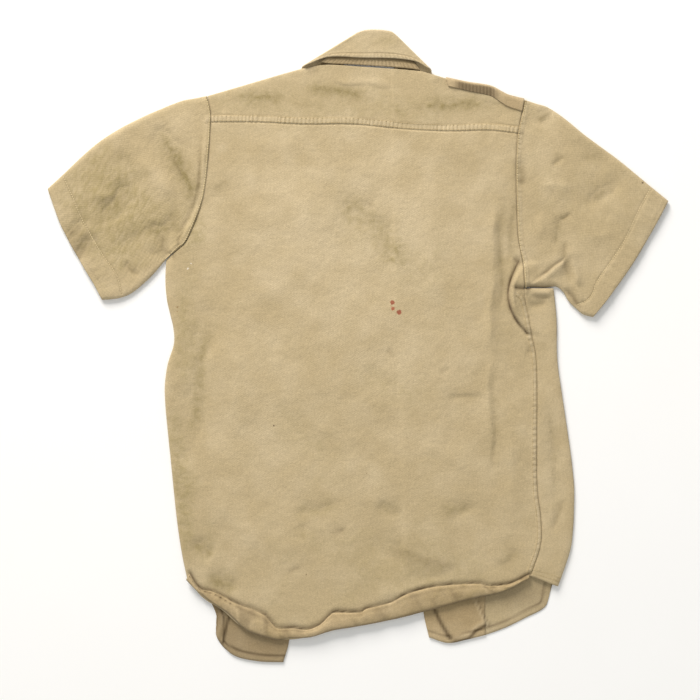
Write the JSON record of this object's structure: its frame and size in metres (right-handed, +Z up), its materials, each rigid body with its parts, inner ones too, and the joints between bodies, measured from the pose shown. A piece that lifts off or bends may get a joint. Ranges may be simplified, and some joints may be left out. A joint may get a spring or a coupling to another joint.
{
  "type": "short-sleeved military service shirt, laid flat",
  "caption": "Short-sleeved khaki service shirt lying flat with its back up, with a yoke, a folded collar, a turned-up back hem and open fronts whose tails show below.",
  "frame": {"origin": "middle of the shirt's outline, on the surface that it lies on", "axes": "+X to the wearer's right sleeve, +Y towards the collar, +Z up, out of the shirt's back"},
  "size_m": [0.8234, 0.8386, 0.0104],
  "materials": {
    "khaki_twill": "faded cotton twill, worn soft, matt",
    "khaki_twill_inside": "inner face of the faded cotton twill, matt",
    "brown_button": "dull moulded plastic"
  },
  "bodies": {
    "root": {"back": "khaki_twill", "front_left": "khaki_twill", "front_right": "khaki_twill", "yoke": "khaki_twill", "sleeve_left": "khaki_twill", "sleeve_right": "khaki_twill", "collar_leaf": "khaki_twill", "strap_left": "khaki_twill", "strap_right": "khaki_twill", "collar_stand": "khaki_twill_inside", "facing_left": "khaki_twill_inside", "facing_right": "khaki_twill_inside", "hem_back": "khaki_twill_inside", "button_front_1": "brown_button", "button_front_2": "brown_button", "button_front_3": "brown_button", "button_front_4": "brown_button", "button_front_5": "brown_button", "button_front_6": "brown_button"}
  },
  "joints": []
}
